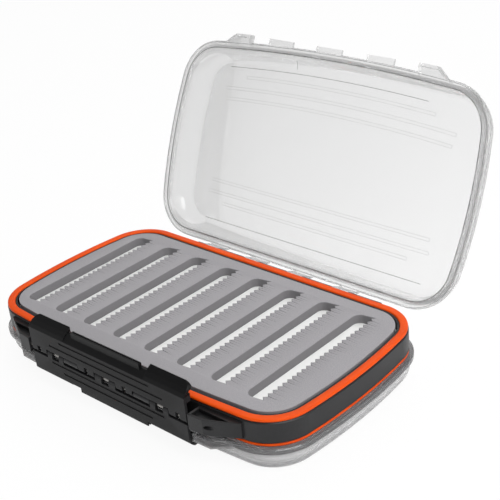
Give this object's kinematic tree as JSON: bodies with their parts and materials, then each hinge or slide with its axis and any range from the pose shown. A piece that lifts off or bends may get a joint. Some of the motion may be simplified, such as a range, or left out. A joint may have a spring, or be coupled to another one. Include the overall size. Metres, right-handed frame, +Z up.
{
  "type": "fly box",
  "caption": "Two-sided fly box: slit foam pads on both faces of a dark body, clear domed lids on a rear hinge, orange seals and a two-leaf front latch.",
  "frame": {"origin": "middle of the lower lid's flat underside, on the surface that the box lies on", "axes": "+Z up through both pads; +X to the right along the hinge, seen from the latch; -Y front with the latch, +Y rear with the hinge"},
  "size_m": [0.1794, 0.1624, 0.1127],
  "materials": {
    "charcoal_plastic": "satin",
    "black_plastic": "satin",
    "orange_seal": "satin",
    "grey_foam": "matte",
    "white_foam": "matte",
    "clear_plastic": "gloss",
    "steel": "satin"
  },
  "bodies": {
    "centre_body": {"centre_body": "charcoal_plastic", "upper_seal": "orange_seal", "lower_seal": "orange_seal", "upper_foam": "grey_foam", "lower_foam": "grey_foam", "upper_foam_base": "white_foam", "lower_foam_base": "white_foam", "hinge_pin": "steel", "latch_pin": "steel"},
    "upper_lid": {"upper_lid": "clear_plastic"},
    "lower_lid": {"lower_lid": "clear_plastic"},
    "upper_latch": {"upper_latch": "black_plastic"},
    "lower_latch": {"lower_latch": "black_plastic"}
  },
  "joints": [
    {"name": "upper_lid_hinge", "type": "hinge", "parent": "centre_body", "child": "upper_lid", "pos_m": [0, 0.0525, 0.0191], "axis": [1, 0, 0], "range_deg": [0, 114]},
    {"name": "lower_lid_hinge", "type": "hinge", "parent": "centre_body", "child": "lower_lid", "pos_m": [0, 0.0525, 0.0191], "axis": [1, 0, 0], "range_deg": [0, 88]},
    {"name": "upper_latch_hinge", "type": "hinge", "parent": "centre_body", "child": "upper_latch", "pos_m": [0, -0.0522, 0.0191], "axis": [1, 0, 0], "range_deg": [0, 45]},
    {"name": "lower_latch_hinge", "type": "hinge", "parent": "centre_body", "child": "lower_latch", "pos_m": [0, -0.0522, 0.0191], "axis": [1, 0, 0], "range_deg": [-45, 0]}
  ]
}
